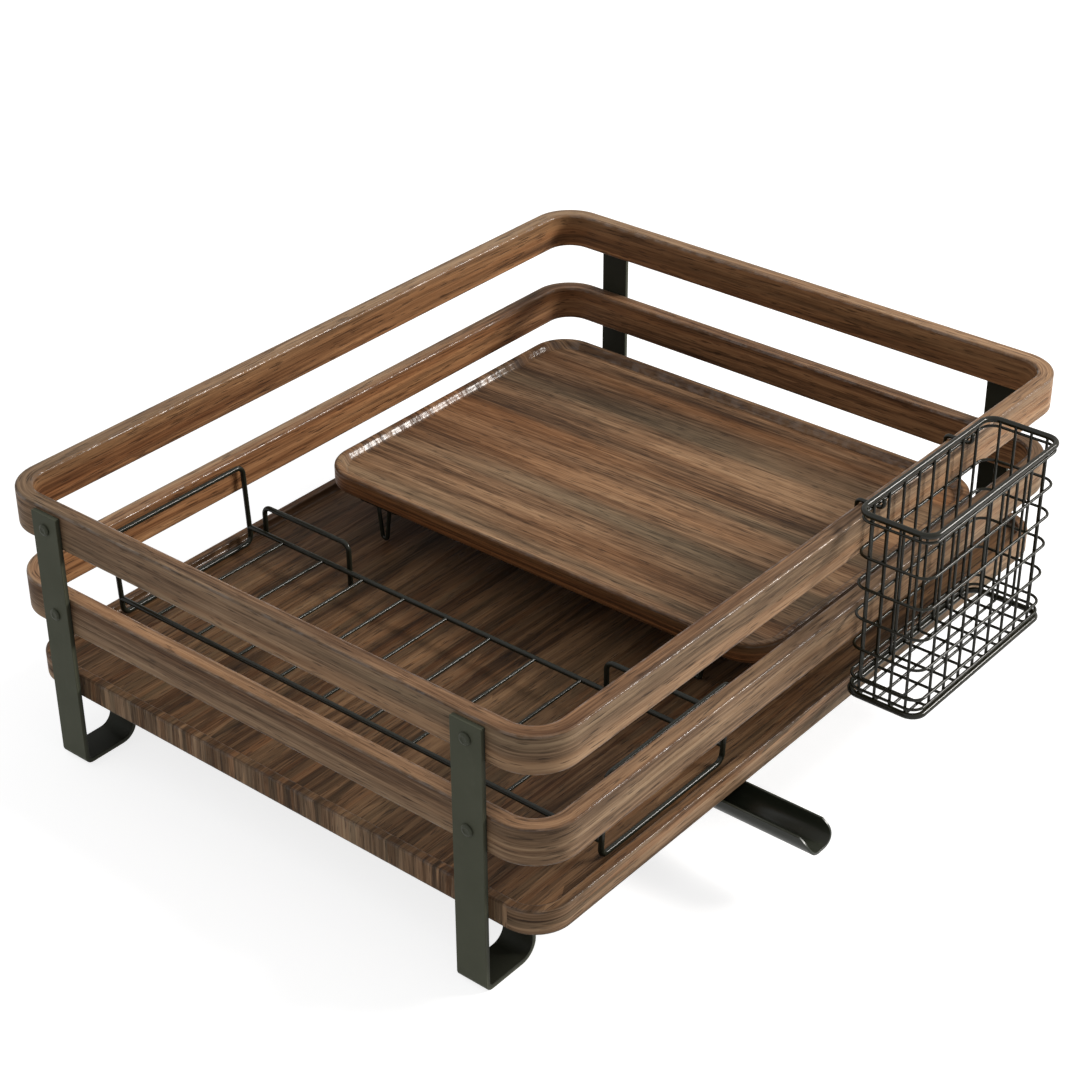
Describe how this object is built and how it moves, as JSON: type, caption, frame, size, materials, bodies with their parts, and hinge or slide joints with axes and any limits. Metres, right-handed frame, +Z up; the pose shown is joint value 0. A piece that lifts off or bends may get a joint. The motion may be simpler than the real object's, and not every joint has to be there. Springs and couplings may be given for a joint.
{
  "type": "countertop dish rack",
  "caption": "Countertop dish rack of bent wood rails on steel strap legs, with a wooden drip tray, swivel spout, raised shelf, wire plate insert and hung cutlery basket.",
  "frame": {"origin": "on the counter, below the middle of the whole rack's box", "axes": "+Z up, +Y along the long side towards the shelf end, +X towards the side with the basket and the spout"},
  "size_m": [0.443, 0.5098, 0.1768],
  "materials": {
    "rail_walnut": "oiled walnut, grain along the rail",
    "tray_walnut": "oiled walnut, satin",
    "shelf_walnut": "oiled walnut, satin",
    "leg_steel": "matte dark olive-grey powder coat",
    "screw_steel": "matte dark grey",
    "insert_steel": "satin dark grey coat on wire",
    "basket_steel": "satin gunmetal coat on wire",
    "spout_plastic": "matte near-black",
    "drain_steel": "brushed"
  },
  "bodies": {
    "frame": {"top_rail": "rail_walnut", "middle_rail": "rail_walnut", "drip_tray": "tray_walnut", "drain_bushing": "drain_steel", "spout_retainer": "drain_steel", "leg_front_left": "leg_steel", "leg_front_right": "leg_steel", "leg_back_left": "leg_steel", "leg_back_right": "leg_steel", "rail_screw_front_left_middle": "screw_steel", "rail_screw_front_left_top": "screw_steel", "rail_screw_front_right_middle": "screw_steel", "rail_screw_front_right_top": "screw_steel", "rail_screw_back_left_middle": "screw_steel", "rail_screw_back_left_top": "screw_steel", "rail_screw_back_right_middle": "screw_steel", "rail_screw_back_right_top": "screw_steel", "tray_screw_front_left": "screw_steel", "tray_screw_front_right": "screw_steel", "tray_screw_back_left": "screw_steel", "tray_screw_back_right": "screw_steel"},
    "spout": {"spout": "spout_plastic"},
    "shelf": {"shelf_board": "shelf_walnut", "shelf_leg_front_left": "insert_steel", "shelf_leg_front_right": "insert_steel", "shelf_leg_back_left": "insert_steel", "shelf_leg_back_right": "insert_steel", "shelf_screw_front_left_a": "screw_steel", "shelf_screw_front_left_b": "screw_steel", "shelf_screw_front_right_a": "screw_steel", "shelf_screw_front_right_b": "screw_steel", "shelf_screw_back_left_a": "screw_steel", "shelf_screw_back_left_b": "screw_steel", "shelf_screw_back_right_a": "screw_steel", "shelf_screw_back_right_b": "screw_steel"},
    "insert": {"insert_front_wire": "insert_steel", "insert_back_wire": "insert_steel", "insert_cross_wire_1": "insert_steel", "insert_cross_wire_2": "insert_steel", "insert_cross_wire_3": "insert_steel", "insert_cross_wire_4": "insert_steel", "insert_cross_wire_5": "insert_steel", "insert_cross_wire_6": "insert_steel", "insert_cross_wire_7": "insert_steel", "insert_cross_wire_8": "insert_steel", "insert_cross_wire_9": "insert_steel", "insert_cross_wire_10": "insert_steel", "insert_hoop_left": "insert_steel", "insert_hoop_right": "insert_steel", "insert_stop_left": "insert_steel", "insert_stop_right": "insert_steel"},
    "basket": {"basket_rim": "basket_steel", "basket_base": "basket_steel", "basket_wall_inner": "basket_steel", "basket_wall_outer": "basket_steel", "basket_wall_front": "basket_steel", "basket_wall_back": "basket_steel", "basket_hook_front": "basket_steel", "basket_hook_back": "basket_steel"}
  },
  "joints": [
    {"name": "spout_swivel", "type": "hinge", "parent": "frame", "child": "spout", "pos_m": [0.1305, -0.081, 0.0412], "axis": [0, 0, 1], "continuous": true},
    {"name": "shelf_lift", "type": "slide", "parent": "frame", "child": "shelf", "axis": [0, 0, 1], "range_m": [0, 0.125]},
    {"name": "insert_lift", "type": "slide", "parent": "frame", "child": "insert", "axis": [0, 0, 1], "range_m": [0, 0.125]},
    {"name": "basket_lift", "type": "slide", "parent": "frame", "child": "basket", "axis": [0, 0, 1], "range_m": [0, 0.125]}
  ]
}
